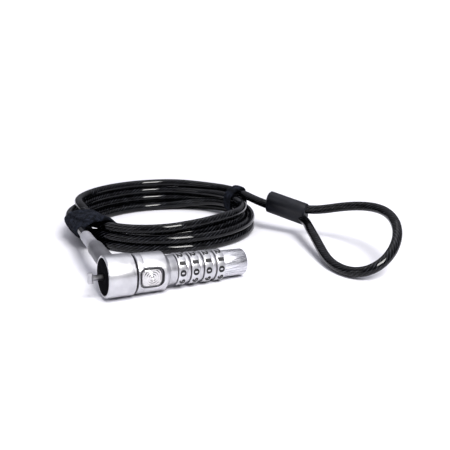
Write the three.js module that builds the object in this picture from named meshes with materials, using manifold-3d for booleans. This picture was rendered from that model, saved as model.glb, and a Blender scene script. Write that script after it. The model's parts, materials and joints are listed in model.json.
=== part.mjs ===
// Laptop cable lock: a push-button combination lock head with a swivelling collar, and its
// coiled steel cable with two hook-and-loop ties, a crimp ferrule and an anchor loop.
//
// Millimetres, +Z up. The lock head lies on the surface z = 0 with its axis almost along +X,
// the slot end towards -X. The origin is under the middle of the head. The cable leaves the
// collar's back towards +Y.

import * as THREE from 'three';
import { mergeVertices } from 'three/addons/utils/BufferGeometryUtils.js';
import Module from 'manifold-3d';

const wasm = await Module();
wasm.setup();

// ---------- driving dimensions ----------

const GAP = 0.3; // clearance between touching pieces

// Along the head's own axis, from the collar's front rim at 0.
const COLLAR = { radius: 10.3, end: 13.5, pocketRadius: 9.1, pocketDepth: 3.4, boreRadius: 6.4 };
const BODY = { radius: 9.8, start: 14.5, line: 17.6, end: 29.0, neckStart: 31.6, neckRadius: 7.4 };
const CAVITY = { radius: 5.5, end: 30.6 };
const DIAL = { count: 4, radius: 8.1, first: 37.8, pitch: 7.0, width: 4.5, innerRadius: 6.3 };
const BARREL = { radius: 4.6, boreRadius: 2.9, start: 31.0, end: 71.6, seatRadius: 4.9 };
const SPACER_RADIUS = 7.3;
const CAP = { radius: 6.9, end: 74.7, wall: 71.9 };
const SPINDLE = { radius: 1.3, end: 19.5, headFront: -7.0, headBack: -5.0, headHeight: 5.4 };
const BUTTON = { at: 21.2, length: 10.2, height: 8.0, corner: 2.4, top: 9.7, base: 7.4 };
const FRAME_WALL = 0.5;

// The cable's port in the collar's back.
const PORT = { at: 7.0, rise: THREE.MathUtils.degToRad(6), radius: 3.4 };
const BOOT = { start: 13.3, shoulder: 39.5, end: 43.0, radius: 4.6, tipRadius: 3.5, bore: 3.1 };

// The cable, its coil and what is on it, in the part's own frame.
const CABLE_DIAMETER = 5.5;
const CABLE_RADIUS = CABLE_DIAMETER / 2;
const COIL = { x: 41, y: 105, turnRadius: 57.4, base: 1.3, layers: 3, columnStep: 5.7 };
const STRAP = { angle: 187, width: 20, wall: 1.0 };
const TIE = { angle: 2, width: 13, wall: 1.0 };
const FERRULE = { length: 27, lobeRadius: 4.5, lobeOffset: 2.9, grooveOffset: 1.2, bevel: 0.8 };
const FERRULE_START = [97.5, 65.5, 20.2];
const FERRULE_END = [111.5, 42.8, 14.5];
const FERRULE_ACROSS = [-0.12, -0.31, 0.94];

// The cable's route where it isn't coiled: points chosen by hand.
const LEAD_ROUTE = [
  [-25.6, 51, 14.2],
  [-24.4, 62, 12.6],
  [-22.3, 74, 10.2],
  [-19.6, 84.5, 8.9],
];
const TOP_TURN = { from: 172, to: 8, radius: 57.0 };
const TAIL_ROUTE = [
  [98.0, 101, 21.2],
  [97.6, 90, 21.0],
  [96.4, 78, 20.6],
];
const LOOP_ROUTE = [
  [105.5, 32, 10.8],
  [101.5, 22, 9.3],
  [96.5, 9, 6.8],
  [91.5, -4, 4.0],
  [88, -15, 2.9],
  [87, -25, 2.8],
  [88.5, -33.5, 3.0],
  [93, -39, 4.8],
  [100, -41, 8.5],
  [109, -38.5, 13.5],
  [118, -32, 18.5],
  [125, -23, 22.5],
  [129.5, -13, 25],
  [131.5, -3, 26],
  [131, 7, 25.5],
  [128, 17, 24],
  [123.5, 27, 21.5],
  [118, 36, 18.5],
];

// ---------- worked out from them ----------

const dialCentres = Array.from({ length: DIAL.count }, (_, k) => DIAL.first + k * DIAL.pitch);
const dialsEnd = dialCentres[DIAL.count - 1] + DIAL.width / 2;
const neckEnd = DIAL.first - DIAL.width / 2 - GAP;
const capStart = dialsEnd + GAP;

// The head rests on the body's rear edge and on the last dial, so its axis tips down a little.
const tilt = Math.atan((BODY.radius - DIAL.radius) / (dialsEnd - BODY.end));
const axisHeight = BODY.radius * Math.cos(tilt) + BODY.end * Math.sin(tilt);
const headLow = SPINDLE.headFront * Math.cos(tilt) - (SPINDLE.headHeight / 2) * Math.sin(tilt);
const headHigh = CAP.end * Math.cos(tilt) + (CAP.radius - 0.8) * Math.sin(tilt);
const axisStart = -(headLow + headHigh) / 2;

// ---------- materials ----------

const material = (color, roughness, metalness) =>
  new THREE.MeshStandardMaterial({ color, roughness, metalness });

const satinZinc = material(0xc9cacd, 0.35, 1.0);
const polishedZinc = material(0xd5d6d8, 0.2, 1.0);
const hardSteel = material(0xb4b6ba, 0.25, 1.0);
const springSteel = material(0x8f9296, 0.35, 1.0);
const bronze = material(0xb08a4c, 0.4, 1.0);
const blackRubber = material(0x101114, 0.85, 0.0);
const blackPlastic = material(0x15161a, 0.45, 0.0);
const smokyJacket = material(0x17181d, 0.2, 0.0);
const greyBoot = material(0x8b8b95, 0.5, 0.0);
const hookAndLoop = material(0x0d1018, 0.95, 0.0);

// ---------- shape helpers ----------

/** A lathed ring or solid about the head's axis. Profile points are [along, radius]. */
function turned(profile, segments = 48) {
  const points = profile.map(([along, radius]) => new THREE.Vector2(radius, along));
  const onAxis = profile[0][1] === 0 && profile[profile.length - 1][1] === 0;
  if (!onAxis) {
    points.push(points[0].clone());
  }
  return new THREE.LatheGeometry(points, segments).rotateZ(-Math.PI / 2);
}

/** A plain ring between two stations and two radii. */
function ring(from, to, inner, outer, segments = 32) {
  return turned([[from, inner], [from, outer], [to, outer], [to, inner]], segments);
}

/** A plain solid disc or rod along the head's axis. */
function rod(from, to, radius, segments = 24) {
  return turned([[from, 0], [from, radius], [to, radius], [to, 0]], segments);
}

/** A box given by its lowest and highest corners. */
function block(low, high) {
  const size = high.map((value, axis) => value - low[axis]);
  const middle = high.map((value, axis) => (value + low[axis]) / 2);
  return new THREE.BoxGeometry(...size).translate(...middle);
}

/** The same geometry as a manifold solid. */
function solid(geometry) {
  const bare = geometry.clone();
  bare.deleteAttribute('normal');
  bare.deleteAttribute('uv');
  const merged = mergeVertices(bare);
  const index = merged.index.array;
  const corners = [];
  for (let t = 0; t < index.length; t += 3) {
    const [a, b, c] = [index[t], index[t + 1], index[t + 2]];
    if (a !== b && b !== c && c !== a) {
      corners.push(a, b, c);
    }
  }
  return new wasm.Manifold(new wasm.Mesh({
    numProp: 3,
    vertProperties: new Float32Array(merged.attributes.position.array),
    triVerts: new Uint32Array(corners),
  }));
}

/** A manifold solid as a three.js geometry. */
function geometryOf(manifold) {
  const mesh = manifold.getMesh();
  const geometry = new THREE.BufferGeometry();
  geometry.setAttribute('position', new THREE.BufferAttribute(mesh.vertProperties, 3));
  geometry.setIndex(new THREE.BufferAttribute(mesh.triVerts, 1));
  const faceted = geometry.toNonIndexed();
  faceted.computeVertexNormals();
  return faceted;
}

/** base with every cutter taken away. */
function cut(base, ...cutters) {
  return geometryOf(cutters.reduce((rest, cutter) => rest.subtract(solid(cutter)), solid(base)));
}

/** Every geometry joined into one solid. */
function joined(...pieces) {
  return geometryOf(pieces.map(solid).reduce((all, piece) => all.add(piece)));
}

/** A regular polygon standing in for a circle. */
function circleShape(radius, sides) {
  const shape = new THREE.Shape();
  for (let k = 0; k < sides; k += 1) {
    const angle = (2 * Math.PI * k) / sides;
    const [x, y] = [radius * Math.cos(angle), radius * Math.sin(angle)];
    if (k === 0) {
      shape.moveTo(x, y);
    } else {
      shape.lineTo(x, y);
    }
  }
  shape.closePath();
  return shape;
}

/** A round tube or wire along a smooth curve through points. */
function tube(points, radius, sides, steps) {
  const path = new THREE.CatmullRomCurve3(points, false, 'centripetal');
  return new THREE.ExtrudeGeometry(circleShape(radius, sides), { extrudePath: path, steps });
}

/** A rounded rectangle centred on the origin. */
function roundedRectangle(width, height, corner) {
  const [x, y] = [width / 2, height / 2];
  const shape = new THREE.Shape();
  shape.moveTo(-x + corner, -y);
  shape.lineTo(x - corner, -y);
  shape.absarc(x - corner, -y + corner, corner, -Math.PI / 2, 0);
  shape.lineTo(x, y - corner);
  shape.absarc(x - corner, y - corner, corner, 0, Math.PI / 2);
  shape.lineTo(-x + corner, y);
  shape.absarc(-x + corner, y - corner, corner, Math.PI / 2, Math.PI);
  shape.lineTo(-x, -y + corner);
  shape.absarc(-x + corner, -y + corner, corner, Math.PI, 1.5 * Math.PI);
  return shape;
}

/** A plate of the button's outline grown by a margin, between two depths towards -Y. */
function buttonPlate(margin, inner, outer) {
  const outline = roundedRectangle(
    BUTTON.length + 2 * margin, BUTTON.height + 2 * margin, BUTTON.corner + margin);
  const depth = outer - inner;
  return new THREE.ExtrudeGeometry(outline, { depth, bevelEnabled: false, curveSegments: 5 })
    .rotateX(Math.PI / 2)
    .translate(BUTTON.at, -inner, 0);
}

/** The frame whose +X runs out of the collar's port, as a matrix in the head's own frame. */
const portFrame = new THREE.Matrix4()
  .makeTranslation(PORT.at, 0, 0)
  .multiply(new THREE.Matrix4().makeRotationX(PORT.rise))
  .multiply(new THREE.Matrix4().makeRotationZ(Math.PI / 2));

/** A helical spring about +X, wound between two stations. */
function spring(from, to, radius, wire, turns) {
  const stepsPerTurn = 9;
  const count = turns * stepsPerTurn;
  const points = Array.from({ length: count + 1 }, (_, k) => {
    const angle = (2 * Math.PI * k) / stepsPerTurn;
    const along = from + wire + ((to - from - 2 * wire) * k) / count;
    return new THREE.Vector3(along, radius * Math.cos(angle), radius * Math.sin(angle));
  });
  return tube(points, wire, 6, count);
}

// ---------- the head, about its own axis ----------

const head = new THREE.Group();
head.rotation.y = tilt;
head.position.set(axisStart, 0, axisHeight);
head.updateMatrixWorld();

function add(group, name, geometry, look) {
  const mesh = new THREE.Mesh(geometry, look);
  mesh.name = name;
  group.add(mesh);
  return mesh;
}

// Collar, with the cable's port and what it holds.

const port = rod(CAVITY.radius, COLLAR.radius + 2, PORT.radius, 32).applyMatrix4(portFrame);

add(head, 'collar_shell', cut(turned([
  [0, COLLAR.pocketRadius],
  [0, COLLAR.radius - 0.5],
  [0.5, COLLAR.radius],
  [COLLAR.end - 0.4, COLLAR.radius],
  [COLLAR.end, COLLAR.radius - 0.4],
  [COLLAR.end, COLLAR.boreRadius],
  [COLLAR.pocketDepth, COLLAR.boreRadius],
  [COLLAR.pocketDepth, COLLAR.pocketRadius],
]), port), satinZinc);

add(head, 'collar_liner',
  ring(COLLAR.pocketDepth + 0.4, COLLAR.end - GAP, CAVITY.radius, COLLAR.boreRadius - GAP), bronze);

add(head, 'cable_anchor', rod(6.9, 9.6, PORT.radius - GAP).applyMatrix4(portFrame), hardSteel);

add(head, 'boot_grommet', cut(
  rod(8.5, BOOT.start - GAP, 5.4, 32).applyMatrix4(portFrame),
  rod(-5, COLLAR.end + 5, COLLAR.radius + GAP, 96),
  rod(5, BOOT.start + 2, BOOT.bore).applyMatrix4(portFrame),
), blackRubber);

add(head, 'strain_relief', turned([
  [BOOT.start, BOOT.bore],
  [BOOT.start, BOOT.radius],
  [BOOT.shoulder - 8, BOOT.radius],
  [BOOT.shoulder, BOOT.radius - 0.4],
  [BOOT.shoulder + 1.5, BOOT.tipRadius],
  [BOOT.end, BOOT.tipRadius - 0.1],
  [BOOT.end, BOOT.bore],
], 24).applyMatrix4(portFrame), greyBoot);

// Nose: the pad, the sleeve that the collar turns on, and the ring in the groove behind it.

const SLEEVE = { radius: CAVITY.radius - GAP, end: 15.2, flangeStart: 2.0, flangeEnd: 3.1 };
const PAD = { front: -0.2, back: 1.7, hole: 1.9 };

add(head, 'face_pad',
  ring(PAD.front, PAD.back, PAD.hole, COLLAR.pocketRadius - GAP, 48), blackRubber);

add(head, 'nose_sleeve', turned([
  [SLEEVE.flangeStart, SPINDLE.radius + 0.4],
  [SLEEVE.flangeStart, COLLAR.pocketRadius - GAP],
  [SLEEVE.flangeEnd, COLLAR.pocketRadius - GAP],
  [SLEEVE.flangeEnd, SLEEVE.radius],
  [SLEEVE.end, SLEEVE.radius],
  [SLEEVE.end, SPINDLE.radius + 0.4],
], 32), hardSteel);

add(head, 'retaining_ring',
  ring(COLLAR.end + GAP, BODY.start - GAP, CAVITY.radius, COLLAR.radius - 0.9, 40), blackPlastic);

// Body, with the button's pocket, and the cross pin that holds the barrel.

const PIN = { at: 32.9, radius: 0.8, low: -6.9, high: 4.2 };
const pinRod = (radius, low, high) =>
  new THREE.CylinderGeometry(radius, radius, high - low, 12)
    .rotateX(Math.PI / 2)
    .translate(PIN.at, 0, (low + high) / 2);

add(head, 'body_housing', cut(
  turned([
    [BODY.start, CAVITY.radius],
    [BODY.start, BODY.radius - 0.4],
    [BODY.start + 0.4, BODY.radius],
    [BODY.line - 0.25, BODY.radius],
    [BODY.line, BODY.radius - 0.3],
    [BODY.line + 0.25, BODY.radius],
    [BODY.end, BODY.radius],
    [BODY.neckStart, BODY.neckRadius],
    [neckEnd, BODY.neckRadius],
    [neckEnd, BARREL.seatRadius],
    [CAVITY.end, BARREL.seatRadius],
    [CAVITY.end, CAVITY.radius],
  ], 48),
  buttonPlate(FRAME_WALL + 2 * GAP, 3.8, 12),
  pinRod(PIN.radius + GAP, -9, 0),
), satinZinc);

add(head, 'button_frame', cut(
  buttonPlate(FRAME_WALL + GAP, 4.4, 8.1),
  buttonPlate(GAP, 5.2, 9),
  new THREE.CylinderGeometry(1.6, 1.6, 4, 20).translate(BUTTON.at, -5, 0),
), satinZinc);

add(head, 'housing_pin', pinRod(PIN.radius, PIN.low, PIN.high), hardSteel);

// Barrel, spacers, end cap and its screw.

const slotStart = dialCentres[0] - DIAL.width / 2;
const slotEnd = dialsEnd + 3.6;

add(head, 'dial_barrel', cut(
  ring(BARREL.start, BARREL.end, BARREL.boreRadius, BARREL.radius),
  block([slotStart, -0.9, 2], [slotEnd, 0.9, 6]),
  block([slotStart, -1.3, -6], [slotEnd, 1.3, -2]),
  pinRod(PIN.radius + GAP, -6, 6),
), hardSteel);

dialCentres.slice(0, -1).forEach((centre, k) => {
  const from = centre + DIAL.width / 2 + GAP;
  const to = centre + DIAL.pitch - DIAL.width / 2 - GAP;
  add(head, `spacer_${k + 1}`, ring(from, to, BARREL.seatRadius, SPACER_RADIUS, 48), satinZinc);
});

add(head, 'end_cap', turned([
  [capStart, BARREL.seatRadius],
  [capStart, CAP.radius],
  [CAP.end - 0.8, CAP.radius],
  [CAP.end - 0.25, CAP.radius - 0.25],
  [CAP.end, CAP.radius - 0.8],
  [CAP.end, 3.8],
  [CAP.wall + 1.0, 3.8],
  [CAP.wall + 1.0, 2.9],
  [CAP.wall, 2.9],
  [CAP.wall, BARREL.seatRadius],
], 40), satinZinc);

add(head, 'end_screw', turned([
  [69.8, 0],
  [69.8, 2.5],
  [CAP.wall + 1.3, 2.5],
  [CAP.wall + 1.3, 3.4],
  [CAP.end - 0.4, 3.4],
  [CAP.end - 0.4, 0],
], 24), springSteel);

// Dials: a printed outer ring and the code ring inside it.

dialCentres.forEach((centre, k) => {
  const [from, to] = [centre - DIAL.width / 2, centre + DIAL.width / 2];
  add(head, `dial_ring_${k + 1}`, turned([
    [from, DIAL.innerRadius],
    [from, DIAL.radius - 0.25],
    [from + 0.25, DIAL.radius],
    [to - 0.25, DIAL.radius],
    [to, DIAL.radius - 0.25],
    [to, DIAL.innerRadius],
  ], 48), satinZinc);
  add(head, `code_ring_${k + 1}`,
    ring(from, to, BARREL.seatRadius, DIAL.innerRadius - GAP), bronze);
});

// Detent: a leaf strip in the barrel with a ball under each code ring.

const BALL = { radius: 0.75, height: -3.9 };

add(head, 'detent_strip',
  block([slotStart + 0.4, -0.9, -3.0], [slotEnd - 0.4, 0.9, -2.8]), springSteel);

dialCentres.forEach((centre, k) => {
  add(head, `detent_ball_${k + 1}`,
    new THREE.SphereGeometry(BALL.radius, 10, 6).translate(centre, 0, BALL.height), hardSteel);
});

// Gate bar in the barrel, with a tooth at each spacer, and its spring.

const GATE = { start: 34.4, end: 64.0, radius: 2.4 };
const gateTeeth = dialCentres.map((centre) =>
  block([centre + 2.9, -0.5, 1.5], [centre + 4.1, 0.5, 4.2]));

add(head, 'gate_bar', joined(rod(GATE.start, GATE.end, GATE.radius), ...gateTeeth), hardSteel);
add(head, 'gate_spring', spring(GATE.end + GAP, 69.5, 2.1, 0.3, 4), springSteel);

// Spindle with its T-shaped head, its cam, its bushing and its return spring.

const headOutline = new THREE.Shape();
const headHalfWidth = 1.3;
const headEndAngle = Math.acos(headHalfWidth / (SPINDLE.headHeight / 2));
headOutline.absarc(0, 0, SPINDLE.headHeight / 2, headEndAngle, Math.PI - headEndAngle);
headOutline.absarc(0, 0, SPINDLE.headHeight / 2, Math.PI + headEndAngle, 2 * Math.PI - headEndAngle);
headOutline.closePath();
const spindleHead = new THREE.ExtrudeGeometry(headOutline, {
  depth: SPINDLE.headBack - SPINDLE.headFront, bevelEnabled: false, curveSegments: 6,
}).rotateY(Math.PI / 2).rotateX(Math.PI / 2).translate(SPINDLE.headFront, 0, 0);

add(head, 't_bar_spindle', joined(
  spindleHead,
  rod(SPINDLE.headBack - 0.5, SPINDLE.end, SPINDLE.radius - 0.01),
), hardSteel);

add(head, 'spindle_cam', cut(
  joined(ring(18.5, 19.4, SPINDLE.radius + GAP, 3.0), block([18.5, 2.0, -0.8], [19.4, 4.4, 0.8])),
), hardSteel);

// The bushing has a flat that clears the floor of the button's frame.
add(head, 'spindle_bushing', cut(
  ring(SLEEVE.end + GAP, 16.5, SPINDLE.radius + GAP, CAVITY.radius - GAP),
  block([SLEEVE.end, -6, -6], [17, -4.1, 6]),
), bronze);

add(head, 'torsion_spring', spring(16.8, 18.2, 2.4, 0.25, 2), springSteel);

// Push button with its leg and spring. The button's face is a low dome.

const buttonDome = new THREE.SphereGeometry(24, 48, 24).translate(BUTTON.at, 24 - BUTTON.top, 0);
add(head, 'release_button', geometryOf(
  solid(buttonPlate(0, BUTTON.base, BUTTON.top + 1)).intersect(solid(buttonDome)),
), polishedZinc);

add(head, 'button_leg',
  new THREE.CylinderGeometry(1.2, 1.2, 4.5, 20).translate(BUTTON.at, -4.85, 0), hardSteel);

add(head, 'button_spring', spring(5.3, 7.3, 2.6, 0.14, 2)
  .rotateZ(-Math.PI / 2)
  .translate(BUTTON.at, 0, 0), springSteel);

// ---------- the cable and what is on it ----------

const cable = new THREE.Group();
const vector = (point) => new THREE.Vector3(...point);

/** A point on the port's axis at a distance from the head's axis, in the part's own frame. */
const portPoint = (distance) =>
  new THREE.Vector3(distance, 0, 0).applyMatrix4(portFrame).applyMatrix4(head.matrixWorld);

/** A point on the coil's circle. */
function coilPoint(degrees, radius, height) {
  const angle = THREE.MathUtils.degToRad(degrees);
  return new THREE.Vector3(
    COIL.x + radius * Math.cos(angle), COIL.y + radius * Math.sin(angle), height);
}

const coilTop = COIL.base + COIL.layers * CABLE_DIAMETER;
const coilOuter = COIL.turnRadius + CABLE_RADIUS;
const coilInner = COIL.turnRadius - COIL.columnStep - CABLE_RADIUS;

add(cable, 'cable_lead', tube(
  [...[10, 18, 26, 34, 42].map(portPoint), ...LEAD_ROUTE.map(vector)],
  CABLE_RADIUS, 10, 14), smokyJacket);

add(cable, 'cable_coil', new THREE.LatheGeometry([
  [coilInner, COIL.base],
  [coilOuter, COIL.base],
  [coilOuter, coilTop],
  [coilInner, coilTop],
  [coilInner, COIL.base],
].map(([radius, height]) => new THREE.Vector2(radius, height)), 72)
  .rotateX(Math.PI / 2)
  .translate(COIL.x, COIL.y, 0), smokyJacket);

// The last turn lies on top of the coil and runs on to the ferrule.
const ferruleStart = vector(FERRULE_START);
const ferruleAxis = vector(FERRULE_END).sub(ferruleStart).normalize();
const ferruleAcross = vector(FERRULE_ACROSS);
ferruleAcross.addScaledVector(ferruleAxis, -ferruleAcross.dot(ferruleAxis)).normalize();
const ferruleEnd = ferruleStart.clone().addScaledVector(ferruleAxis, FERRULE.length);

/** A point on one of the ferrule's two cable lines: side +1 is the upper one. The tail
 * goes into the lower one and the loop's end into the upper one. */
const onFerrule = (along, side) => ferruleStart.clone()
  .addScaledVector(ferruleAxis, along)
  .addScaledVector(ferruleAcross, side * FERRULE.lobeOffset);

const topHeight = coilTop + GAP + CABLE_RADIUS;
const topTurn = [];
for (let angle = TOP_TURN.from; angle >= TOP_TURN.to; angle -= 12) {
  topTurn.push(coilPoint(angle, TOP_TURN.radius, topHeight));
}
add(cable, 'cable_tail', tube(
  [...topTurn, ...TAIL_ROUTE.map(vector), onFerrule(-5, -1), onFerrule(-GAP, -1)],
  CABLE_RADIUS, 10, 22), smokyJacket);

// Two-lobed ferrule: both strands side by side with a groove between them.
const lobeAngle = Math.acos((FERRULE.lobeOffset - FERRULE.grooveOffset) / FERRULE.lobeRadius);
const ferruleOutline = new THREE.Shape();
ferruleOutline.absarc(FERRULE.lobeOffset, 0, FERRULE.lobeRadius, lobeAngle - Math.PI, Math.PI - lobeAngle);
ferruleOutline.absarc(-FERRULE.lobeOffset, 0, FERRULE.lobeRadius, lobeAngle, 2 * Math.PI - lobeAngle);
ferruleOutline.closePath();
const ferruleMesh = add(cable, 'crimp_ferrule', new THREE.ExtrudeGeometry(ferruleOutline, {
  depth: FERRULE.length - 2 * FERRULE.bevel,
  bevelEnabled: true,
  bevelThickness: FERRULE.bevel,
  bevelSize: FERRULE.bevel,
  bevelOffset: -FERRULE.bevel,
  bevelSegments: 1,
  curveSegments: 14,
}).translate(0, 0, FERRULE.bevel), blackPlastic);
const ferruleNormal = new THREE.Vector3().crossVectors(ferruleAxis, ferruleAcross);
ferruleMesh.quaternion.setFromRotationMatrix(
  new THREE.Matrix4().makeBasis(ferruleAcross, ferruleNormal, ferruleAxis));
ferruleMesh.position.copy(ferruleStart);

// Both ends of the loop leave the ferrule straight before they part.
const loopStart = [GAP, 3].map((beyond) => onFerrule(FERRULE.length + beyond, -1));
const loopEnd = [3, GAP].map((beyond) => onFerrule(FERRULE.length + beyond, 1));
add(cable, 'cable_loop', tube(
  [...loopStart, ...LOOP_ROUTE.map(vector), ...loopEnd], CABLE_RADIUS, 10, 30), smokyJacket);

// Hook-and-loop ties: closed bands about the coil.

function band({ angle, width, wall }, top) {
  const slack = (width * width) / (8 * coilInner) + GAP;
  const [inner, outer] = [coilInner - slack, coilOuter + GAP];
  const [bottom, height] = [COIL.base - GAP, top + GAP];
  const outline = new THREE.Shape();
  outline.moveTo(inner - wall, bottom - wall);
  outline.lineTo(outer + wall, bottom - wall);
  outline.lineTo(outer + wall, height + wall);
  outline.lineTo(inner - wall, height + wall);
  outline.closePath();
  const opening = new THREE.Path();
  opening.moveTo(inner, bottom);
  opening.lineTo(inner, height);
  opening.lineTo(outer, height);
  opening.lineTo(outer, bottom);
  opening.closePath();
  outline.holes.push(opening);
  return new THREE.ExtrudeGeometry(outline, { depth: width, bevelEnabled: false })
    .translate(0, 0, -width / 2)
    .rotateX(Math.PI / 2)
    .rotateZ(THREE.MathUtils.degToRad(angle))
    .translate(COIL.x, COIL.y, 0);
}

add(cable, 'coil_strap', band(STRAP, coilTop), hookAndLoop);
add(cable, 'coil_tie', band(TIE, topHeight + CABLE_RADIUS), hookAndLoop);

// ---------- the whole lock ----------

const group = new THREE.Group();
group.add(head, cable);

export default group;
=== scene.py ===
"""Laptop cable lock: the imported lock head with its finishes, and the coiled steel cable, its
boot, ties, ferrule and loop. Everything is in metres, in the part's own frame, at rest."""

import json
import math

import bmesh
import bpy
from mathutils import Matrix, Vector, noise


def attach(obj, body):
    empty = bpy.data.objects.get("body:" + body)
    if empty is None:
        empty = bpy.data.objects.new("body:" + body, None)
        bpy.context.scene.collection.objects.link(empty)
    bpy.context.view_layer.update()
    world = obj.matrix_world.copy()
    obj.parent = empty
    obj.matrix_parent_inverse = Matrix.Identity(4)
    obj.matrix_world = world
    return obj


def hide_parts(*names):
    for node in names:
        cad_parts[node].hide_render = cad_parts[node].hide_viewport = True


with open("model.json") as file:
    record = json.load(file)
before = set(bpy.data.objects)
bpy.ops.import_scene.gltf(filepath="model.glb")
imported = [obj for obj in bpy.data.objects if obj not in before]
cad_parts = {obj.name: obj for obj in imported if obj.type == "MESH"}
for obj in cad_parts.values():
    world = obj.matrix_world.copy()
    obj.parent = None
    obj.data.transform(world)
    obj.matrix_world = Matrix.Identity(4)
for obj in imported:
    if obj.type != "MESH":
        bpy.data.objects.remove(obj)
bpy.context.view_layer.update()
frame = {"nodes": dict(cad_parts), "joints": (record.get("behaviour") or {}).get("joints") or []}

MM = 0.001
nodes = frame["nodes"]

# ---------- the head's own frame: +X from the slot end to the end cap ----------

swivel = next(joint for joint in frame["joints"] if joint["name"] == "body_swivel")
head_axis = Vector(swivel["axis"]).normalized()
head_side = Vector((0, 1, 0))
head_up = head_axis.cross(head_side)
HEAD = Matrix.Translation(swivel["pos_m"]) @ Matrix((head_axis, head_side, head_up)).transposed().to_4x4()
TILT = math.asin(-head_axis.z)

PORT_AT = 7.0
PORT_RISE = math.radians(6)
PORT = (
    HEAD
    @ Matrix.Translation((PORT_AT * MM, 0, 0))
    @ Matrix.Rotation(PORT_RISE, 4, "X")
    @ Matrix.Rotation(math.pi / 2, 4, "Z")
)


def port_point(distance):
    """A point on the port's axis, at a distance in mm from the head's axis."""
    return PORT @ Vector((distance * MM, 0, 0))


# ---------- camera ----------


def make_camera(place, azimuth, elevation, lens):
    """A camera at a place in mm that looks along an azimuth, downwards by an elevation."""
    a, e = math.radians(azimuth), math.radians(elevation)
    forward = Vector((-math.sin(a) * math.cos(e), math.cos(a) * math.cos(e), -math.sin(e)))
    data = bpy.data.cameras.new("camera")
    data.sensor_width = 36
    data.lens = lens
    data.clip_start, data.clip_end = 0.01, 20
    camera = bpy.data.objects.new("camera", data)
    camera.location = Vector(place) * MM
    camera.rotation_mode = "QUATERNION"
    camera.rotation_quaternion = forward.to_track_quat("-Z", "Y")
    bpy.context.scene.collection.objects.link(camera)
    bpy.context.scene.camera = camera


make_camera((-111.6, -270.2, 111.3), -27.8, 15.19, 49.8)

# ---------- mesh helpers ----------


def mesh_object(name, vertices, faces, material, smooth=True):
    """A new object from plain lists of vertices and faces."""
    mesh = bpy.data.meshes.new(name)
    mesh.from_pydata([tuple(v) for v in vertices], [], faces)
    mesh.update()
    mesh.shade_smooth() if smooth else mesh.shade_flat()
    mesh.materials.append(material)
    piece = bpy.data.objects.new(name, mesh)
    bpy.context.scene.collection.objects.link(piece)
    return piece


def ease(value, start, end):
    """0 up to start, 1 from end on and smooth between them, in either direction."""
    t = min(max((value - start) / (end - start), 0), 1)
    return t * t * (3 - 2 * t)


def smooth_line(points, step):
    """Points a step apart on the centripetal Catmull-Rom curve through the given points."""
    ends = [2 * points[0] - points[1], *points, 2 * points[-1] - points[-2]]
    pieces_per_span = 16
    fine = []
    for p0, p1, p2, p3 in zip(ends, ends[1:], ends[2:], ends[3:]):
        t1 = (p1 - p0).length ** 0.5
        t2 = t1 + (p2 - p1).length ** 0.5
        t3 = t2 + (p3 - p2).length ** 0.5
        for k in range(pieces_per_span):
            t = t1 + (t2 - t1) * k / pieces_per_span
            a1 = p0.lerp(p1, t / t1)
            a2 = p1.lerp(p2, (t - t1) / (t2 - t1))
            a3 = p2.lerp(p3, (t - t2) / (t3 - t2))
            b1 = a1.lerp(a2, t / t2)
            b2 = a2.lerp(a3, (t - t1) / (t3 - t1))
            fine.append(b1.lerp(b2, (t - t1) / (t2 - t1)))
    fine.append(points[-1])
    travelled = [0.0]
    for a, b in zip(fine, fine[1:]):
        travelled.append(travelled[-1] + (b - a).length)
    count = round(travelled[-1] / step)
    line, k = [], 0
    for n in range(count + 1):
        target = travelled[-1] * n / count
        while k < len(fine) - 2 and travelled[k + 1] < target:
            k += 1
        share = (target - travelled[k]) / (travelled[k + 1] - travelled[k])
        line.append(fine[k].lerp(fine[k + 1], share))
    return line


def tube_mesh(name, line, radius, sides, material):
    """A closed round tube along a line. Its UV map runs round the tube in u and along it, in
    metres, in v, on frames that don't twist."""
    vertices, faces = [], []
    normal = (line[1] - line[0]).orthogonal().normalized()
    for n, point in enumerate(line):
        tangent = (line[min(n + 1, len(line) - 1)] - line[max(n - 1, 0)]).normalized()
        normal = (normal - tangent * normal.dot(tangent)).normalized()
        side = tangent.cross(normal)
        for k in range(sides):
            angle = 2 * math.pi * k / sides
            vertices.append(point + radius * (math.cos(angle) * normal + math.sin(angle) * side))
    for n in range(len(line) - 1):
        for k in range(sides):
            a, b = n * sides + k, n * sides + (k + 1) % sides
            faces.append((a, b, b + sides, a + sides))
    faces.append(tuple(reversed(range(sides))))
    faces.append(tuple(range((len(line) - 1) * sides, len(line) * sides)))
    piece = mesh_object(name, vertices, faces, material)
    spacing = (line[1] - line[0]).length
    layer = piece.data.uv_layers.new(name="along")
    for polygon in piece.data.polygons:
        if len(polygon.loop_indices) != 4:
            continue
        seam = any(piece.data.loops[i].vertex_index % sides == sides - 1 for i in polygon.loop_indices)
        for i in polygon.loop_indices:
            ring, k = divmod(piece.data.loops[i].vertex_index, sides)
            wrapped = k + sides if seam and k == 0 else k
            layer.data[i].uv = (wrapped / sides, ring * spacing)
    return piece


# ---------- materials ----------


def new_material(name, settings):
    """A Principled material with its constant sockets set."""
    material = bpy.data.materials.new(name)
    material.use_nodes = True
    shader = material.node_tree.nodes["Principled BSDF"]
    for socket, value in settings.items():
        shader.inputs[socket].default_value = value
    return material


def add_node(material, kind, inputs=None, **settings):
    """A node of a kind, with constants or links for its inputs, and its settings."""
    node = material.node_tree.nodes.new("ShaderNode" + kind)
    for key, value in settings.items():
        setattr(node, key, value)
    for key, value in (inputs or {}).items():
        if isinstance(value, bpy.types.NodeSocket):
            material.node_tree.links.new(value, node.inputs[key])
        else:
            node.inputs[key].default_value = value
    return node


def into_shader(material, socket, source):
    """Links an output into one of the Principled shader's sockets."""
    material.node_tree.links.new(source, material.node_tree.nodes["Principled BSDF"].inputs[socket])


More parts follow.
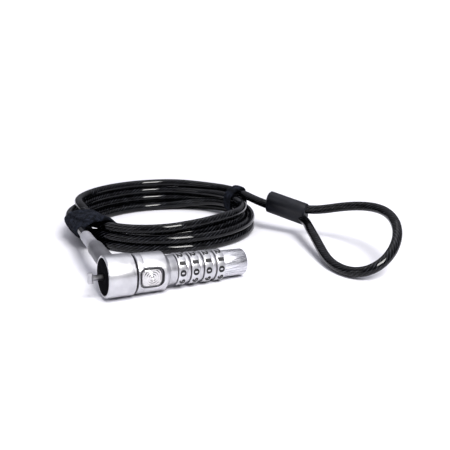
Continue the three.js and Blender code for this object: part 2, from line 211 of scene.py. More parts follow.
def noise_field(material, scale, detail=3.0, turn=(0, 0, 0), roughness=0.5):
    """Noise over the piece's own coordinates, with a scale for each axis in cells a metre."""
    place = add_node(material, "TexCoord").outputs["Object"]
    turned = add_node(material, "Mapping", {"Vector": place, "Rotation": turn})
    stretched = add_node(material, "Mapping", {"Vector": turned.outputs[0], "Scale": scale})
    field = add_node(material, "TexNoise", {
        "Vector": stretched.outputs[0], "Scale": 1.0, "Detail": detail, "Roughness": roughness})
    return field.outputs["Fac"]


def spread(material, field, low, high, start=0.3, end=0.7):
    """A field's middle range mapped between two values."""
    return add_node(material, "MapRange", {
        "Value": field, "From Min": start, "From Max": end, "To Min": low, "To Max": high,
    }).outputs["Result"]


def tint(material, field, low, high, start=0.3, end=0.7):
    """A field's middle range mapped between two colours."""
    ramp = add_node(material, "ValToRGB", {"Fac": field})
    ramp.color_ramp.elements[0].position, ramp.color_ramp.elements[1].position = start, end
    ramp.color_ramp.elements[0].color, ramp.color_ramp.elements[1].color = (*low, 1), (*high, 1)
    return ramp.outputs["Color"]


def bump(material, field, depth, under=None):
    """A bump of a depth in mm, over another one if there is one."""
    inputs = {"Height": field, "Strength": 1.0, "Distance": depth * MM}
    if under is not None:
        inputs["Normal"] = under
    return add_node(material, "Bump", inputs).outputs["Normal"]


def satin_zinc():
    """Cast zinc with a satin nickel finish: turned round its axis, with a fine grain."""
    m = new_material("satin_zinc", {"Metallic": 1.0})
    turn = (0, TILT, 0)
    lines = noise_field(m, (5200, 90, 90), 2.0, turn)
    grain = noise_field(m, (2600, 2600, 2600), 3.0)
    patches = noise_field(m, (150, 150, 150), 3.0)
    into_shader(m, "Base Color", tint(m, patches, (0.49, 0.49, 0.51), (0.61, 0.61, 0.63)))
    into_shader(m, "Roughness", spread(m, lines, 0.28, 0.42))
    into_shader(m, "Normal", bump(m, grain, 0.004, bump(m, lines, 0.006)))
    return m


def streaked_zinc():
    """The same finish, brushed along the axis, on the end cap."""
    m = new_material("streaked_zinc", {"Metallic": 1.0})
    turn = (0, TILT, 0)
    streaks = noise_field(m, (110, 2400, 2400), 4.0, turn, 0.65)
    into_shader(m, "Base Color", tint(m, streaks, (0.36, 0.36, 0.39), (0.74, 0.74, 0.77), 0.36, 0.6))
    into_shader(m, "Roughness", spread(m, streaks, 0.2, 0.42))
    into_shader(m, "Normal", bump(m, streaks, 0.03))
    return m


def polished_steel(name, colour, low, high):
    """Bright metal with faint scratches and smears."""
    m = new_material(name, {"Metallic": 1.0})
    smears = noise_field(m, (420, 420, 420), 4.0)
    scratches = noise_field(m, (300, 5200, 5200), 2.0)
    darker = tuple(0.86 * c for c in colour)
    into_shader(m, "Base Color", tint(m, smears, darker, colour))
    into_shader(m, "Roughness", spread(m, smears, low, high))
    into_shader(m, "Normal", bump(m, scratches, 0.003))
    return m


def black_rubber():
    """Matte black rubber with a fine moulded grain and a little dust."""
    m = new_material("black_rubber", {"Specular IOR Level": 0.03})
    grain = noise_field(m, (3800, 3800, 3800), 4.0, roughness=0.7)
    dust = noise_field(m, (380, 380, 380), 4.0)
    into_shader(m, "Base Color", tint(m, dust, (0.002, 0.002, 0.003), (0.006, 0.006, 0.008)))
    into_shader(m, "Roughness", spread(m, grain, 0.75, 0.95))
    into_shader(m, "Normal", bump(m, grain, 0.03))
    return m


def black_plastic():
    """Moulded blue-black plastic with a fine spark-eroded texture."""
    m = new_material("black_plastic", {"Specular IOR Level": 0.35})
    grain = noise_field(m, (4200, 4200, 4200), 2.0)
    flow = noise_field(m, (120, 120, 120), 3.0)
    into_shader(m, "Base Color", tint(m, flow, (0.004, 0.0045, 0.007), (0.01, 0.011, 0.016)))
    into_shader(m, "Roughness", spread(m, grain, 0.36, 0.52))
    into_shader(m, "Normal", bump(m, grain, 0.02))
    return m


def grey_boot():
    """Soft grey vinyl that light goes into a little."""
    m = new_material("grey_boot", {
        "Subsurface Weight": 0.25, "Subsurface Radius": (0.9, 0.9, 1.0), "Subsurface Scale": 0.001,
        "Coat Weight": 0.25, "Coat Roughness": 0.3})
    cloud = noise_field(m, (160, 160, 160), 3.0)
    grain = noise_field(m, (3000, 3000, 3000), 2.0)
    along = add_node(m, "SeparateXYZ", {"Vector": add_node(m, "UVMap", uv_map="along").outputs["UV"]})
    neck = tint(m, along.outputs["Y"], (0.085, 0.085, 0.095), (0.3, 0.3, 0.33), 0.022, 0.031)
    mottle = tint(m, cloud, (0.85, 0.85, 0.85), (1, 1, 1))
    mixed = add_node(m, "Mix", {6: neck, 7: mottle, 0: 1.0}, data_type="RGBA", blend_type="MULTIPLY")
    into_shader(m, "Base Color", mixed.outputs[2])
    into_shader(m, "Roughness", spread(m, grain, 0.4, 0.55))
    into_shader(m, "Normal", bump(m, grain, 0.01))
    return m


STRANDS = 9
LAY_LENGTH = 26.5  # mm along the cable for one turn of its strands


def smoky_jacket():
    """A smoky clear jacket: its gloss is a smooth coat, and under it show the dark rope's
    twisted strands, as a pattern round and along the tube."""
    m = new_material("smoky_jacket", {
        "Coat Weight": 1.0, "Coat Roughness": 0.08, "Coat IOR": 1.38, "Specular IOR Level": 0.0})
    uv = add_node(m, "UVMap", uv_map="along").outputs["UV"]
    split = add_node(m, "SeparateXYZ", {"Vector": uv})
    along = add_node(m, "Math", {0: split.outputs["Y"], 1: STRANDS / (LAY_LENGTH * MM)}, operation="MULTIPLY")
    around = add_node(m, "Math", {0: split.outputs["X"], 1: float(STRANDS)}, operation="MULTIPLY")
    phase = add_node(m, "Math", {0: around.outputs[0], 1: along.outputs[0]}, operation="ADD")
    saw = add_node(m, "Math", {0: phase.outputs[0], 1: 0.5}, operation="PINGPONG")
    crown = add_node(m, "Math", {0: saw.outputs[0], 1: 2.0}, operation="MULTIPLY")
    clouds = noise_field(m, (260, 260, 260), 3.0)
    wires = add_node(m, "Math", {0: crown.outputs[0], 1: clouds}, operation="MULTIPLY")
    core, wire = (0.0004, 0.0004, 0.0008), (0.034, 0.036, 0.043)
    into_shader(m, "Base Color", tint(m, wires.outputs[0], core, wire, 0.28, 0.62))
    into_shader(m, "Metallic", spread(m, crown.outputs[0], 0.0, 0.25, 0.5, 1.0))
    into_shader(m, "Roughness", spread(m, clouds, 0.35, 0.5))
    into_shader(m, "Normal", bump(m, crown.outputs[0], 0.35))
    return m


def hook_and_loop():
    """Blue-black napped tape: a felt of loops with a soft sheen."""
    m = new_material("hook_and_loop", {
        "Roughness": 0.95, "Sheen Weight": 0.1, "Sheen Roughness": 0.5,
        "Sheen Tint": (0.25, 0.28, 0.36, 1), "Specular IOR Level": 0.1})
    nap = noise_field(m, (1500, 1500, 1500), 5.0, roughness=0.8)
    tufts = noise_field(m, (420, 420, 420), 3.0)
    fibres = add_node(m, "Math", {0: nap, 1: tufts}, operation="MULTIPLY")
    shade, tip = (0.0008, 0.001, 0.002), (0.022, 0.026, 0.04)
    into_shader(m, "Base Color", tint(m, fibres.outputs[0], shade, tip, 0.2, 0.38))
    into_shader(m, "Normal", bump(m, nap, 0.9))
    return m


def digit_ink():
    """Black enamel in the dials' digits."""
    m = new_material("digit_ink", {"Specular IOR Level": 0.4})
    wear = noise_field(m, (1500, 1500, 1500), 3.0)
    into_shader(m, "Base Color", tint(m, wear, (0.006, 0.006, 0.007), (0.02, 0.02, 0.022)))
    into_shader(m, "Roughness", spread(m, wear, 0.4, 0.6))
    into_shader(m, "Normal", bump(m, wear, 0.01))
    return m


ZINC = satin_zinc()
CAP_ZINC = streaked_zinc()
BUTTON_METAL = polished_steel("polished_zinc", (0.66, 0.65, 0.65), 0.18, 0.28)
STEEL = polished_steel("hard_steel", (0.78, 0.78, 0.8), 0.14, 0.3)
SPINDLE_STEEL = polished_steel("spindle_steel", (0.46, 0.46, 0.48), 0.3, 0.42)
# The button frame's dark grey is painted shade: it stands in for the shadow in the gaps round the button.
FRAME_SHADE_METAL = polished_steel("frame_metal_painted_shade", (0.2, 0.2, 0.21), 0.35, 0.5)
BRONZE = polished_steel("bronze", (0.66, 0.5, 0.28), 0.3, 0.45)
RUBBER = black_rubber()
PLASTIC = black_plastic()
BOOT_VINYL = grey_boot()
JACKET = smoky_jacket()
NAP = hook_and_loop()
INK = digit_ink()

# ---------- finishes of the CAD nodes ----------

SHARP_EDGE = math.radians(30)


def smooth_by_angle():
    """A node group that shades faces smooth and keeps edges over SHARP_EDGE sharp."""
    group = bpy.data.node_groups.new("smooth_by_angle", "GeometryNodeTree")
    group.interface.new_socket("Geometry", in_out="INPUT", socket_type="NodeSocketGeometry")
    group.interface.new_socket("Geometry", in_out="OUTPUT", socket_type="NodeSocketGeometry")
    start = group.nodes.new("NodeGroupInput")
    end = group.nodes.new("NodeGroupOutput")
    faces = group.nodes.new("GeometryNodeSetShadeSmooth")
    edges = group.nodes.new("GeometryNodeSetShadeSmooth")
    edges.domain = "EDGE"
    edges.inputs["Shade Smooth"].default_value = False
    angle = group.nodes.new("GeometryNodeInputMeshEdgeAngle")
    compare = group.nodes.new("FunctionNodeCompare")
    compare.data_type, compare.operation = "FLOAT", "GREATER_THAN"
    compare.inputs["B"].default_value = SHARP_EDGE
    group.links.new(start.outputs[0], faces.inputs["Geometry"])
    group.links.new(faces.outputs[0], edges.inputs["Geometry"])
    group.links.new(angle.outputs["Unsigned Angle"], compare.inputs["A"])
    group.links.new(compare.outputs[0], edges.inputs["Selection"])
    group.links.new(edges.outputs[0], end.inputs[0])
    return group


SMOOTHER = smooth_by_angle()


def finish_node(name, material, edge=0.12):
    """Gives a CAD node its material, rounded edges and smooth shading."""
    piece = nodes[name]
    piece.data.materials.clear()
    piece.data.materials.append(material)
    weld = piece.modifiers.new("weld", "WELD")
    weld.merge_threshold = 0.002 * MM
    if edge:
        bevel = piece.modifiers.new("bevel", "BEVEL")
        bevel.width = edge * MM
        bevel.segments = 2
        bevel.limit_method = "ANGLE"
        bevel.angle_limit = SHARP_EDGE
    smoother = piece.modifiers.new("smooth", "NODES")
    smoother.node_group = SMOOTHER


FINISHES = {
    "collar_shell": ZINC,
    "body_housing": ZINC,
    "end_cap": CAP_ZINC,
    "end_screw": STEEL,
    "face_pad": RUBBER,
    "boot_grommet": RUBBER,
    "retaining_ring": PLASTIC,
    # dark frame metal: painted shade for the gaps round the button
    "button_frame": FRAME_SHADE_METAL,
    "crimp_ferrule": PLASTIC,
    "t_bar_spindle": SPINDLE_STEEL,
    "nose_sleeve": STEEL,
    "cable_anchor": STEEL,
    "housing_pin": STEEL,
    "dial_barrel": STEEL,
    "gate_bar": STEEL,
    "gate_spring": STEEL,
    "detent_strip": STEEL,
    "spindle_cam": STEEL,
    "torsion_spring": STEEL,
    "button_leg": STEEL,
    "button_spring": STEEL,
    "collar_liner": BRONZE,
    "spindle_bushing": BRONZE,
}
for number in (1, 2, 3, 4):
    FINISHES[f"dial_ring_{number}"] = ZINC
    FINISHES[f"code_ring_{number}"] = BRONZE
    FINISHES[f"detent_ball_{number}"] = STEEL
for number in (1, 2, 3):
    FINISHES[f"spacer_{number}"] = ZINC

INNER = {"gate_spring", "torsion_spring", "button_spring", "detent_strip"}
for name, material in FINISHES.items():
    finish_node(name, material, 0 if name in INNER or name.startswith("detent_ball") else 0.12)

# ---------- the cable ----------

CABLE_DIAMETER = 5.5
CABLE_RADIUS = CABLE_DIAMETER / 2
COIL_X, COIL_Y = 41.0, 105.0
COIL_BASE = 1.3
TURN_RADIUS, INNER_RADIUS, TOP_RADIUS = 57.4, 51.7, 57.0
LOW, MIDDLE, HIGH = (COIL_BASE + CABLE_DIAMETER * (k + 0.5) for k in range(3))
TOP = HIGH + CABLE_DIAMETER + 0.05

LEAD_ROUTE = [(-25.6, 51, 14.2), (-24.2, 62, 13.6), (-22.8, 74, 13.0), (-21.7, 84.5, 12.7)]
TAIL_ROUTE = [(98.3, 99.5, 18.2), (97.6, 88, 17.9), (97.2, 77, 17.7)]
FERRULE_LENGTH, LOBE_OFFSET = 27.0, 2.9
FERRULE_START = Vector((97.5, 65.5, 20.2))
FERRULE_END = Vector((111.5, 42.8, 14.5))
FERRULE_ACROSS = Vector((-0.12, -0.31, 0.94))
LOOP_ROUTE = [
    (105.5, 32, 10.8), (101.5, 22, 9.3), (96.5, 9, 6.8), (91.5, -4, 4.0), (88, -15, 2.9),
    (87, -25, 2.8), (88.5, -33.5, 3.0), (93, -39, 4.8), (100, -41, 8.5), (109, -38.5, 13.5),
    (118, -32, 18.5), (125, -23, 22.5), (129.5, -13, 25), (131.5, -3, 26), (131, 7, 25.5),
    (128, 17, 24), (123.5, 27, 21.5), (118, 36, 18.5),
]

# The places that the strand goes through, as (radius, height), and the angles, in degrees, over
# which it moves from each to the next once a turn, all of them about the left strap.
PLACES = [(62.9, 12.6), (TURN_RADIUS, HIGH), (TURN_RADIUS, MIDDLE), (TURN_RADIUS, LOW),
          (INNER_RADIUS, LOW), (TOP_RADIUS, TOP)]
RADIUS_SHIFTS = [(178, 140), (200, 168), (208, 176), (216, 184), (196, 150)]
HEIGHT_SHIFTS = [(190, 150), (200, 168), (208, 176), (216, 184), (232, 160)]
JOIN_ANGLE, LEAVE_ANGLE = 190.0, 8.0
COIL_STEP = 8.0

# Away from the ties, whose bands lie under it, the coil sinks to the floor.
TIE_ANGLES = (187, 2)
SINK = 1.15
TAIL_DROP = 2.1  # how far the top turn comes down before it leaves the coil

# The first turn is slack at the front, and the inner one rides up under it: angle, change of
# radius and of height, in mm.
INNER_SLACK = [(75, 0, 0), (20, 0, 5.4), (-15, 0, 5.4), (-37, 0, 6.9), (-70, 0, 7.9), (-95, 0, 7.4),
               (-108, 0, 7.2), (-124, 0, 5.5), (-150, 0, 0)]
SLACK = [(75, 0, 0), (20, -5.4, 0), (-15, -5.4, 0), (-37, -5.4, 1.4), (-70, -5.2, 2.6),
         (-95, -3.4, 2.0), (-108, -1.1, 1.2), (-124, 0, 0.7), (-150, 0, 0)]


def coil_place(wound):
    """The strand's (radius, height) when it has been wound to an angle that only falls."""
    radius, height = PLACES[0]
    for turn, (before, after) in enumerate(zip(PLACES, PLACES[1:])):
        angle = wound + 360 * turn
        radius += (after[0] - before[0]) * ease(angle, *RADIUS_SHIFTS[turn])
        height += (after[1] - before[1]) * ease(angle, *HEIGHT_SHIFTS[turn])
    for changes, turn in ((SLACK, 0), (INNER_SLACK, 3)):
        for before, after in zip(changes, changes[1:]):
            share = ease(wound + 360 * turn, before[0], after[0])
            radius += (after[1] - before[1]) * share
            height += (after[2] - before[2]) * share
    off_tie = min(abs((wound - tie + 180) % 360 - 180) for tie in TIE_ANGLES)
    top_turn = wound + 360 * (len(PLACES) - 2)
    height -= SINK * ease(off_tie, 12, 40) + TAIL_DROP * ease(top_turn, 65, 12)
    return radius, height


def coil_point(wound):
    radius, height = coil_place(wound)
    angle = math.radians(wound)
    return Vector((COIL_X + radius * math.cos(angle), COIL_Y + radius * math.sin(angle), height))


ferrule_axis = (FERRULE_END - FERRULE_START).normalized()
ferrule_across = (FERRULE_ACROSS - ferrule_axis * FERRULE_ACROSS.dot(ferrule_axis)).normalized()


def on_ferrule(along, side):
    """A point on the ferrule's upper (+1) or lower (-1) cable line."""
    return FERRULE_START + ferrule_axis * along + ferrule_across * side * LOBE_OFFSET


def cable_route():
    """The whole cable's route in mm, from the collar's port to its end in the ferrule."""
    route = [port_point(distance) / MM for distance in (10, 18, 26, 34, 42)]
    route += [Vector(point) for point in LEAD_ROUTE]
    turns = len(PLACES) - 2
    last = LEAVE_ANGLE - 360 * turns
    count = round((JOIN_ANGLE - last) / COIL_STEP)
    route += [coil_point(JOIN_ANGLE + (last - JOIN_ANGLE) * k / count) for k in range(count + 1)]
    route += [Vector(point) for point in TAIL_ROUTE]
    inside = (1.5, FERRULE_LENGTH / 2, FERRULE_LENGTH - 1.5)
    route += [on_ferrule(along, -1) for along in inside]
    route += [Vector(point) for point in LOOP_ROUTE]
    route += [on_ferrule(along, 1) for along in reversed(inside)]
    return route


def relax(line, rounds):
    """The line with its sharp bends eased, as a stiff cable lies. Its ends stay in place."""
    for _ in range(rounds):
        middles = [(a + 2 * b + c) / 4 for a, b, c in zip(line, line[1:], line[2:])]
        line = [line[0], *middles, line[-1]]
    return line


LINE_STEP = 1.4
RELAX_ROUNDS = 44
cable_line = [point * MM for point in relax(smooth_line(cable_route(), LINE_STEP), RELAX_ROUNDS)]
cable = tube_mesh("steel_cable", cable_line, CABLE_RADIUS * MM, 18, JACKET)
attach(cable, "collar")
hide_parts("cable_lead", "cable_coil", "cable_tail", "cable_loop")

# ---------- boot ----------


BOOT_START, BOOT_SHOULDER, BOOT_END = 13.3, 36.0, 64.0
BOOT_ROOT_RADIUS, BOOT_NECK_RADIUS, BOOT_BORE = 4.6, 3.3, 2.8
ROUTE_START = 10  # the cable's first point, in mm from the head's axis


def boot_radius(distance):
    """The boot's outer radius at a distance in mm from the head's axis."""
    root = BOOT_ROOT_RADIUS - 0.35 * ease(distance, BOOT_START, BOOT_SHOULDER)
    neck = ease(distance, BOOT_SHOULDER - 1, BOOT_SHOULDER + 5)
    ends = 0.3 * ease(distance, BOOT_START + 0.5, BOOT_START) + 0.2 * ease(distance, BOOT_END - 0.6, BOOT_END)
    return root + (BOOT_NECK_RADIUS - root) * neck - ends


def boot_mesh():
    """The boot: a sleeve on the cable that tapers to a thin neck. Its UV map runs along it, in
    metres, in v."""
    sides, step = 44, 0.4
    count = round((BOOT_END - BOOT_START) / step)
    spacing = (cable_line[1] - cable_line[0]).length / MM
    outer, inner, travelled = [], [], []
    normal = Vector((0, 0, 1))
    for n in range(count + 1):
        distance = BOOT_START + (BOOT_END - BOOT_START) * n / count
        whole, share = divmod((distance - ROUTE_START) / spacing, 1)
        here = cable_line[int(whole)].lerp(cable_line[int(whole) + 1], share)
        tangent = (cable_line[int(whole) + 1] - cable_line[int(whole)]).normalized()
        normal = (normal - tangent * normal.dot(tangent)).normalized()
        side = tangent.cross(normal)
        for k in range(sides):
            angle = 2 * math.pi * k / sides
            spoke = (math.cos(angle) * normal + math.sin(angle) * side) * MM
            outer.append(here + spoke * boot_radius(distance))
            inner.append(here + spoke * BOOT_BORE)
            travelled.append((distance - BOOT_START) * MM)
    faces, last = [], len(outer)
    for n in range(count):
        for k in range(sides):
            a, b = n * sides + k, n * sides + (k + 1) % sides
            faces.append((a, b, b + sides, a + sides))
            faces.append((last + a, last + a + sides, last + b + sides, last + b))
    for k in range(sides):
        k2, end = (k + 1) % sides, count * sides
        faces.append((k, last + k, last + k2, k2))
        faces.append((end + k, end + k2, last + end + k2, last + end + k))
    piece = mesh_object("cable_boot", outer + inner, faces, BOOT_VINYL)
    layer = piece.data.uv_layers.new(name="along")
    for i, corner in enumerate(piece.data.loops):
        layer.data[i].uv = (0.5, travelled[corner.vertex_index % last])
    return piece


boot = boot_mesh()
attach(boot, "collar")
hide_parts("strain_relief")

# ---------- hook-and-loop ties ----------

COIL_INSIDE, LEAD_OUTSIDE, LEAD_REACH = 45, 76, 66.5


def strands_at(angle):
    """Every (radius, height) at which the coil or its lead crosses the half plane at an angle.
    The lead counts only up to LEAD_REACH."""
    direction = Vector((math.cos(math.radians(angle)), math.sin(math.radians(angle))))
    crossings = []
    for a, b in zip(cable_line, cable_line[1:]):
        pa = Vector((a.x / MM - COIL_X, a.y / MM - COIL_Y))
        pb = Vector((b.x / MM - COIL_X, b.y / MM - COIL_Y))
        side_a = direction.x * pa.y - direction.y * pa.x
        side_b = direction.x * pb.y - direction.y * pb.x
        if side_a * side_b <= 0 and side_a != side_b and pa.dot(direction) > 0:
            share = side_a / (side_a - side_b)
            radius = pa.lerp(pb, share).dot(direction)
            if COIL_INSIDE < radius < LEAD_OUTSIDE:
                crossings.append((min(radius, LEAD_REACH), a.lerp(b, share).z / MM))
    return crossings


def wrap_outline(strands, margin, count):
    """A taut outline round the strands, with a margin: its middle and a radius for each of
    count directions."""
    middle = Vector((sum(r for r, _ in strands), sum(z for _, z in strands))) / len(strands)
    turns = [2 * math.pi * k / count for k in range(count)]
    directions = [Vector((math.cos(turn), math.sin(turn))) for turn in turns]
    reach = [max((Vector(s) - middle).dot(d) for s in strands) + CABLE_RADIUS + margin for d in directions]
    radii = [
        min(r / d.dot(u) for r, d in zip(reach, directions) if d.dot(u) > 0.05)
        for u in directions
    ]
    return middle, radii


def rounded_outlines(first, last, around):
    """For each whole degree of the coil, the middle and the radii of a soft band's inside."""
    outlines = {}
    for angle in range(first, last + 1):
        middle, radii = wrap_outline(strands_at(angle), 0.25, around)
        soft = [sum(radii[(k + s) % around] for s in range(-7, 8)) / 15 for k in range(around)]
        outlines[angle] = middle, [max(r - 0.15, q) for r, q in zip(radii, soft)]
    return outlines


def make_tie(name, middle_angle, skew, width, wall, lap, seed):
    """A napped tape wound round the coil at an angle. Skew is how far, in degrees of the coil,
    its outer side leans from its inner one. Lap is the stretch, in degrees round the section,
    where its free end lies on top of the first layer."""
    around, across = 132, 30
    half = math.degrees(width / 2 / TURN_RADIUS)
    margin = math.ceil(half + abs(skew)) + 1
    outlines = rounded_outlines(math.floor(middle_angle) - margin, math.ceil(middle_angle) + margin, around)
    vertices, faces = [], []
    for layer in (0, 1):
        for j in range(across + 1):
            share = 2 * j / across - 1
            edge = math.sqrt(max(1 - abs(share) ** 4, 0))
            for k in range(around):
                u = 360 * k / around
                a = math.radians(u)
                angle = middle_angle - skew * math.cos(a) + half * share
                below = math.floor(angle)
                (middle0, radii0), (middle1, radii1) = outlines[below], outlines[below + 1]
                middle = middle0.lerp(middle1, angle - below)
                radius = radii0[k] + (radii1[k] - radii0[k]) * (angle - below)
                pucker = 0.45 * noise.noise(Vector((u / 22, share * 1.6, seed)))
                nap = 0.3 * noise.noise(Vector((u / 2.2, share * 14, seed + 5)))
                on_top = ease(u, lap[0], lap[0] + 4) * ease(u, lap[1], lap[1] - 4)
                lift = 0.1 + wall * 0.5 * (1 - edge)
                if layer == 1:
                    lift = 0.1 + wall * (0.5 + 0.5 * edge) + (0.9 * wall * on_top + nap) * edge
                radius += lift + pucker * 0.6
                r = middle.x + radius * math.cos(a)
                z = max(middle.y + radius * math.sin(a), 0.35 if layer == 0 else 0.05)
                t = math.radians(angle)
                vertices.append(Vector((COIL_X + r * math.cos(t), COIL_Y + r * math.sin(t), z)) * MM)
    per_layer = (across + 1) * around

    def index(layer, j, k):
        return layer * per_layer + j * around + k % around

    for j in range(across):
        for k in range(around):
            faces.append((index(1, j, k), index(1, j, k + 1), index(1, j + 1, k + 1), index(1, j + 1, k)))
            faces.append((index(0, j, k), index(0, j + 1, k), index(0, j + 1, k + 1), index(0, j, k + 1)))
    for k in range(around):
        faces.append((index(0, 0, k), index(0, 0, k + 1), index(1, 0, k + 1), index(1, 0, k)))
        faces.append((
            index(0, across, k), index(1, across, k), index(1, across, k + 1), index(0, across, k + 1)))
    return mesh_object(name, vertices, faces, NAP)


strap = make_tie("wide_strap", 197.5, 6.5, 29, 1.4, (40, 200), 3)
tie = make_tie("narrow_tie", 2, 0, 11, 0.8, (60, 150), 11)
for piece, node in ((strap, "coil_strap"), (tie, "coil_tie")):
    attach(piece, "collar")
    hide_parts(node)

# ---------- dials: printed digits ----------

DIAL_RADIUS = 8.1
DIAL_FIRST, DIAL_PITCH = 37.8, 7.0
DIGIT_HEIGHT, DIGIT_WIDTH = 3.3, 3.5
DIGIT_BOLDNESS = 0.048


def digit_faces(character):
    """A digit's flat outline in mm, centred, as a bmesh cut into narrow strips."""
    curve = bpy.data.curves.new("digit", "FONT")
    curve.body = character
    curve.resolution_u = 3
    curve.offset = DIGIT_BOLDNESS
    text = bpy.data.objects.new("digit", curve)
    bpy.context.scene.collection.objects.link(text)
    bpy.context.view_layer.update()
    mesh = bpy.data.meshes.new_from_object(text)
    bpy.data.objects.remove(text)
    bpy.data.curves.remove(curve)
    shape = bmesh.new()
    shape.from_mesh(mesh)
    bpy.data.meshes.remove(mesh)
    xs = [v.co.x for v in shape.verts]
    ys = [v.co.y for v in shape.verts]
    width = DIGIT_WIDTH * (0.55 if character == "1" else 1.0)
    for v in shape.verts:
        v.co.x = ((v.co.x - min(xs)) / (max(xs) - min(xs)) - 0.5) * width
        v.co.y = ((v.co.y - min(ys)) / (max(ys) - min(ys)) - 0.5) * DIGIT_HEIGHT
    strips = 8
    for k in range(1, strips):
        cut = DIGIT_WIDTH * (k / strips - 0.5)
        bmesh.ops.bisect_plane(
            shape, geom=shape.verts[:] + shape.edges[:] + shape.faces[:],
            plane_co=(cut, 0, 0), plane_no=(1, 0, 0))
    bmesh.ops.triangulate(shape, faces=shape.faces[:])
    return shape


def dial_digits(number):
    """The ten digits of a dial, 0 facing -Y and the next ones above it."""
    vertices, faces = [], []
    centre = DIAL_FIRST + DIAL_PITCH * (number - 1)
    for digit in range(10):
        shape = digit_faces(str(digit))
        shape.verts.index_update()
        base = len(vertices)
        for v in shape.verts:
            around = math.radians(36 * digit) - v.co.x / DIAL_RADIUS
            radius = DIAL_RADIUS + 0.02
            place = Vector((centre + v.co.y, -radius * math.cos(around), radius * math.sin(around)))
            vertices.append(HEAD @ (place * MM))
        faces += [tuple(base + v.index for v in face.verts) for face in shape.faces]
        shape.free()
    piece = mesh_object(f"dial_digits_{number}", vertices, faces, INK, smooth=False)
    thicken = piece.modifiers.new("thickness", "SOLIDIFY")
    thicken.thickness = 0.05 * MM
    thicken.offset = 0
    return piece


for number in (1, 2, 3, 4):
    digits = dial_digits(number)
    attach(digits, f"dial_{number}")

# ---------- push button ----------

BUTTON_AT = 21.2
BUTTON_LENGTH, BUTTON_HEIGHT, BUTTON_CORNER = 10.2, 8.0, 2.4
BUTTON_TOP, BUTTON_BASE = 9.7, 7.4
RING_DEPTH, RING_SPACING = 0.2, 1.1


def button_edge(angle):
    """The distance from the button's middle to its rounded outline in a direction."""
    c, s = abs(math.cos(angle)), abs(math.sin(angle))
    x, y = BUTTON_LENGTH / 2, BUTTON_HEIGHT / 2
    reach = min(x / c if c > 1e-9 else 1e9, y / s if s > 1e-9 else 1e9)
    cx, cy = x - BUTTON_CORNER, y - BUTTON_CORNER
    if reach * c > cx and reach * s > cy:
        along = c * cx + s * cy
        reach = along + math.sqrt(along * along - (cx * cx + cy * cy - BUTTON_CORNER ** 2))
    return reach


def button_mesh():
    """The button: a low dome with fine concentric rings, rounded at its rim."""
    around, rings = 96, 56
    vertices = [Vector((BUTTON_AT, -BUTTON_TOP, 0))]
    for j in range(1, rings + 1):
        for k in range(around):
            angle = 2 * math.pi * k / around
            r = button_edge(angle) * j / rings
            rim = ease(j / rings, 0.88, 1.0)
            dome = r * r / 48
            wave = 0.5 - 0.5 * math.cos(2 * math.pi * r / RING_SPACING)
            ring = RING_DEPTH * wave * ease(r, 0.2, 0.5) * (1 - rim)
            depth = BUTTON_TOP - 0.08 - dome + ring - 0.28 * rim * rim
            vertices.append(Vector((BUTTON_AT + r * math.cos(angle), -depth, r * math.sin(angle))))
    for k in range(around):
        angle = 2 * math.pi * k / around
        r = button_edge(angle)
        vertices.append(Vector((BUTTON_AT + r * math.cos(angle), -BUTTON_BASE, r * math.sin(angle))))
    faces = [(0, 1 + k, 1 + (k + 1) % around) for k in range(around)]
    for j in range(rings):
        for k in range(around):
            a, b = 1 + j * around + k, 1 + j * around + (k + 1) % around
            faces.append((a, a + around, b + around, b))
    faces.append(tuple(1 + rings * around + k for k in reversed(range(around))))
    return mesh_object("button_cap", [HEAD @ (v * MM) for v in vertices], faces, BUTTON_METAL)


button = button_mesh()
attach(button, "button")
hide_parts("release_button")

# ---------- floor and light ----------


def make_floor():
    """A flat pale floor with a painted glow: its emission rises away from the lock, so that it fades to white
    there and far shadows are lost.
    """
    m = new_material("floor", {"Roughness": 0.6, "Specular IOR Level": 0.3})
    cloud = noise_field(m, (6, 6, 6), 2.0)
    into_shader(m, "Base Color", tint(m, cloud, (0.68, 0.68, 0.725), (0.7, 0.7, 0.74)))
    # Painted light: the floor glows white, more the farther it is from the lock, and this hides its shadows
    # there.
    m.node_tree.nodes["Principled BSDF"].inputs["Emission Color"].default_value = (1, 1, 1, 1)
    place = add_node(m, "TexCoord").outputs["Object"]
    away = add_node(m, "VectorMath", {0: place, 1: (0.03, 0.05, 0.0)}, operation="DISTANCE")
    into_shader(m, "Emission Strength", spread(m, away.outputs["Value"], 0.0, 1.0, 0.22, 0.6))
    half = 4.0
    vertices = [(-half, -half, 0), (half, -half, 0), (half, half, 0), (-half, half, 0)]
    floor = mesh_object("floor", vertices, [(0, 1, 2, 3)], m, smooth=False)


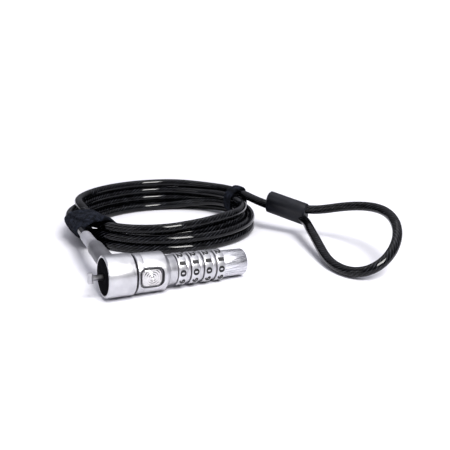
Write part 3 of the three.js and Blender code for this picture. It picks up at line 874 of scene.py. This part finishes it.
def area_light(name, azimuth, elevation, distance, size, power, colour):
    """A square soft box that faces the lock from an azimuth and an elevation."""
    a, e = math.radians(azimuth), math.radians(elevation)
    direction = Vector((math.cos(a) * math.cos(e), math.sin(a) * math.cos(e), math.sin(e)))
    data = bpy.data.lights.new(name, "AREA")
    data.shape = "RECTANGLE"
    data.size, data.size_y = size
    data.energy = power
    data.color = colour
    light = bpy.data.objects.new(name, data)
    light.location = Vector((0.03, 0.05, 0)) + direction * distance
    light.rotation_mode = "QUATERNION"
    light.rotation_quaternion = (-direction).to_track_quat("-Z", "Y")
    bpy.context.scene.collection.objects.link(light)


def make_world():
    """Soft pale surroundings, brighter overhead than at eye level, and white to the camera."""
    world = bpy.data.worlds.new("world")
    world.use_nodes = True
    tree = world.node_tree
    tree.nodes.clear()
    place = tree.nodes.new("ShaderNodeTexCoord")
    split = tree.nodes.new("ShaderNodeSeparateXYZ")
    ramp = tree.nodes.new("ShaderNodeValToRGB")
    ramp.color_ramp.elements[0].position, ramp.color_ramp.elements[1].position = 0.0, 0.8
    ramp.color_ramp.elements[0].color = (0.2, 0.2, 0.22, 1)
    ramp.color_ramp.elements[1].color = (0.92, 0.92, 1.0, 1)
    around = tree.nodes.new("ShaderNodeBackground")
    around.inputs["Strength"].default_value = 0.6
    behind = tree.nodes.new("ShaderNodeBackground")
    behind.inputs["Color"].default_value = (1, 1, 1, 1)
    ray = tree.nodes.new("ShaderNodeLightPath")
    mix = tree.nodes.new("ShaderNodeMixShader")
    output = tree.nodes.new("ShaderNodeOutputWorld")
    tree.links.new(place.outputs["Generated"], split.inputs[0])
    tree.links.new(split.outputs["Z"], ramp.inputs["Fac"])
    tree.links.new(ramp.outputs["Color"], around.inputs["Color"])
    tree.links.new(ray.outputs["Is Camera Ray"], mix.inputs["Fac"])
    tree.links.new(around.outputs[0], mix.inputs[1])
    tree.links.new(behind.outputs[0], mix.inputs[2])
    tree.links.new(mix.outputs[0], output.inputs[0])
    bpy.context.scene.world = world


make_floor()
make_world()
area_light("key", -88, 48, 1.1, (0.42, 0.62), 16, (1.0, 0.985, 0.96))
area_light("left", 190, 22, 1.0, (0.7, 0.5), 1.3, (1.0, 1.0, 1.0))
area_light("overhead", 70, 72, 1.2, (1.3, 0.9), 2.6, (1.0, 1.0, 1.0))
bpy.context.scene.view_settings.view_transform = "Standard"
bpy.context.scene.view_settings.look = "Medium High Contrast"
